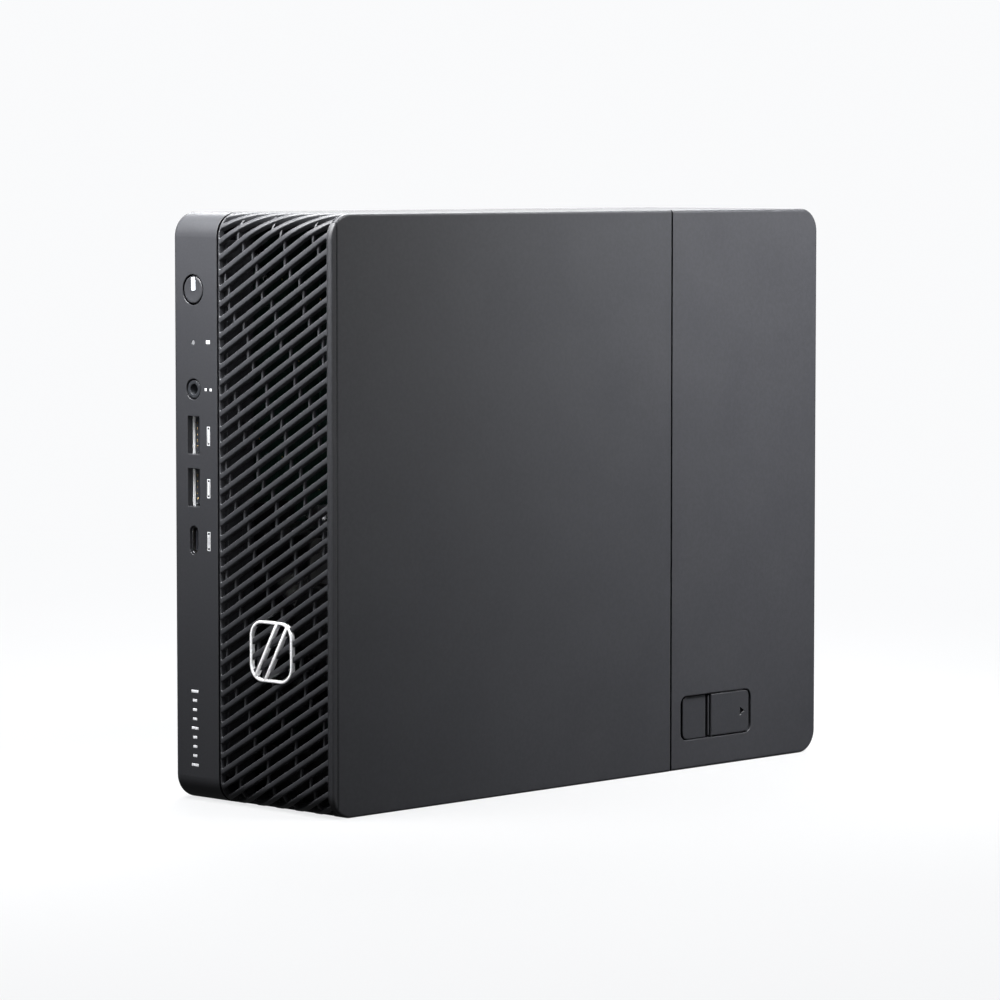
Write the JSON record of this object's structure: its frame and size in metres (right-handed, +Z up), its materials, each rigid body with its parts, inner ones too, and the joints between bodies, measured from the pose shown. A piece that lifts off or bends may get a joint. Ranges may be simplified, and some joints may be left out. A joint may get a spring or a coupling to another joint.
{
  "type": "mini pc",
  "caption": "Compact desktop computer: slanted-rod front grille, front port panel, lift-off side cover, rear cable cover with slide latch, and a full set of internal boards and coolers.",
  "frame": {"origin": "centre of the bottom face of the case, over the painted shells", "axes": "+Z up as it stands, -Y out of the front grille and ports, +Y out of the rear cable cover, +X out of the side cover, -X out of the monitor-mount side with the rubber feet"},
  "size_m": [0.0772, 0.238, 0.1935],
  "materials": {
    "case_plastic": "fine moulded grain, satin",
    "panel_plastic": "smooth satin moulding",
    "grille_plastic": "satin moulding, dark behind the slots",
    "emblem_trim": "white gloss trim",
    "white_ink": "pad-printed ink",
    "painted_sheet": "charcoal powder coat, very fine texture",
    "cover_plastic": "charcoal moulding matched to the painted sheet",
    "latch_plastic": "satin moulding",
    "plated_sheet": "zinc-plated sheet",
    "plated_fastener": "nickel plate",
    "foot_rubber": "matt rubber",
    "spring_steel": "drawn wire",
    "light_guide": "clear light guide, lit white",
    "black_plastic": "satin moulding",
    "connector_steel": "plated connector shell",
    "tongue_plastic": "pale insulator",
    "circuit_board": "solder mask over copper",
    "brass_post": "turned brass",
    "connector_ivory": "ivory moulding",
    "chip_lid": "nickel-plated lid",
    "sink_aluminium": "plain aluminium"
  },
  "bodies": {
    "root": {"battery_holder": "connector_ivory", "bezel_frame": "case_plastic", "board_screws": "plated_fastener", "board_standoffs": "brass_post", "card_screws": "plated_fastener", "card_sockets": "black_plastic", "chassis": "painted_sheet", "coin_cell": "connector_steel", "cpu_socket": "connector_ivory", "display_sockets": "connector_steel", "drive_light_pipe": "light_guide", "emblem": "emblem_trim", "fan_duct": "black_plastic", "fan_frame": "black_plastic", "fan_lead": "black_plastic", "front_grille": "grille_plastic", "graphics_board": "circuit_board", "graphics_bracket": "connector_steel", "graphics_heat_sink": "sink_aluminium", "graphics_ports": "connector_steel", "graphics_slot": "black_plastic", "headset_jack": "black_plastic", "heat_sink": "sink_aluminium", "heat_sink_screws": "plated_fastener", "memory_module_inner": "circuit_board", "memory_module_outer": "circuit_board", "memory_sockets": "black_plastic", "motherboard": "circuit_board", "mount_inserts": "plated_fastener", "network_jack": "connector_steel", "panel_marks": "white_ink", "port_panel": "panel_plastic", "power_inlet": "black_plastic", "power_switch": "black_plastic", "processor": "chip_lid", "rear_panel": "plated_sheet", "rear_usb_stacks": "connector_steel", "riser_card": "circuit_board", "riser_socket": "black_plastic", "rubber_feet": "foot_rubber", "solid_state_drive": "circuit_board", "speaker": "black_plastic", "usb_c_shell": "connector_steel", "usb_c_tongue": "black_plastic", "usb_shell_lower": "connector_steel", "usb_shell_upper": "connector_steel", "usb_tongue_lower": "tongue_plastic", "usb_tongue_upper": "tongue_plastic", "wireless_card": "connector_steel"},
    "power_button": {"power_button": "panel_plastic", "power_light": "light_guide"},
    "cable_cover": {"cable_cover": "cover_plastic", "latch_spring": "spring_steel"},
    "cover_latch": {"cover_latch": "latch_plastic"},
    "side_cover": {"side_cover": "painted_sheet"},
    "fan_rotor": {"fan_rotor": "black_plastic"},
    "graphics_fan_rotor": {"graphics_fan_rotor": "black_plastic"},
    "thumbscrew_clip": {"thumbscrew_clip": "spring_steel"},
    "thumbscrew": {"thumbscrew": "plated_fastener"}
  },
  "joints": [
    {"name": "power_button_press", "type": "slide", "parent": "root", "child": "power_button", "axis": [0, 1, 0], "range_m": [0, 0.001], "stiffness_N_per_m": 300, "springref_m": -0.001},
    {"name": "side_cover_lift", "type": "slide", "parent": "root", "child": "side_cover", "axis": [1, 0, 0], "range_m": [0, 0.06]},
    {"name": "cable_cover_slide", "type": "slide", "parent": "root", "child": "cable_cover", "axis": [0, 1, 0], "range_m": [0, 0.09]},
    {"name": "latch_slide", "type": "slide", "parent": "cable_cover", "child": "cover_latch", "axis": [0, -1, 0], "range_m": [0, 0.002], "stiffness_N_per_m": 400, "springref_m": -0.004, "deforming": ["latch_spring"]},
    {"name": "main_fan_spin", "type": "hinge", "parent": "root", "child": "fan_rotor", "pos_m": [0.005, -0.089, 0.06], "axis": [0, 1, 0], "continuous": true},
    {"name": "graphics_fan_spin", "type": "hinge", "parent": "root", "child": "graphics_fan_rotor", "pos_m": [0.02, -0.011, 0.1465], "axis": [1, 0, 0], "continuous": true},
    {"name": "cover_screw_travel", "type": "slide", "parent": "root", "child": "thumbscrew_clip", "axis": [0, 1, 0], "range_m": [0, 0.0032]},
    {"name": "cover_screw_turn", "type": "hinge", "parent": "thumbscrew_clip", "child": "thumbscrew", "pos_m": [0.028, 0.058, 0.182], "axis": [0, 1, 0], "range_deg": [0, 1440]}
  ],
  "couplings": [
    {"joint": "cover_screw_travel", "follows": "cover_screw_turn", "m_per_rad": 0.00012637}
  ]
}
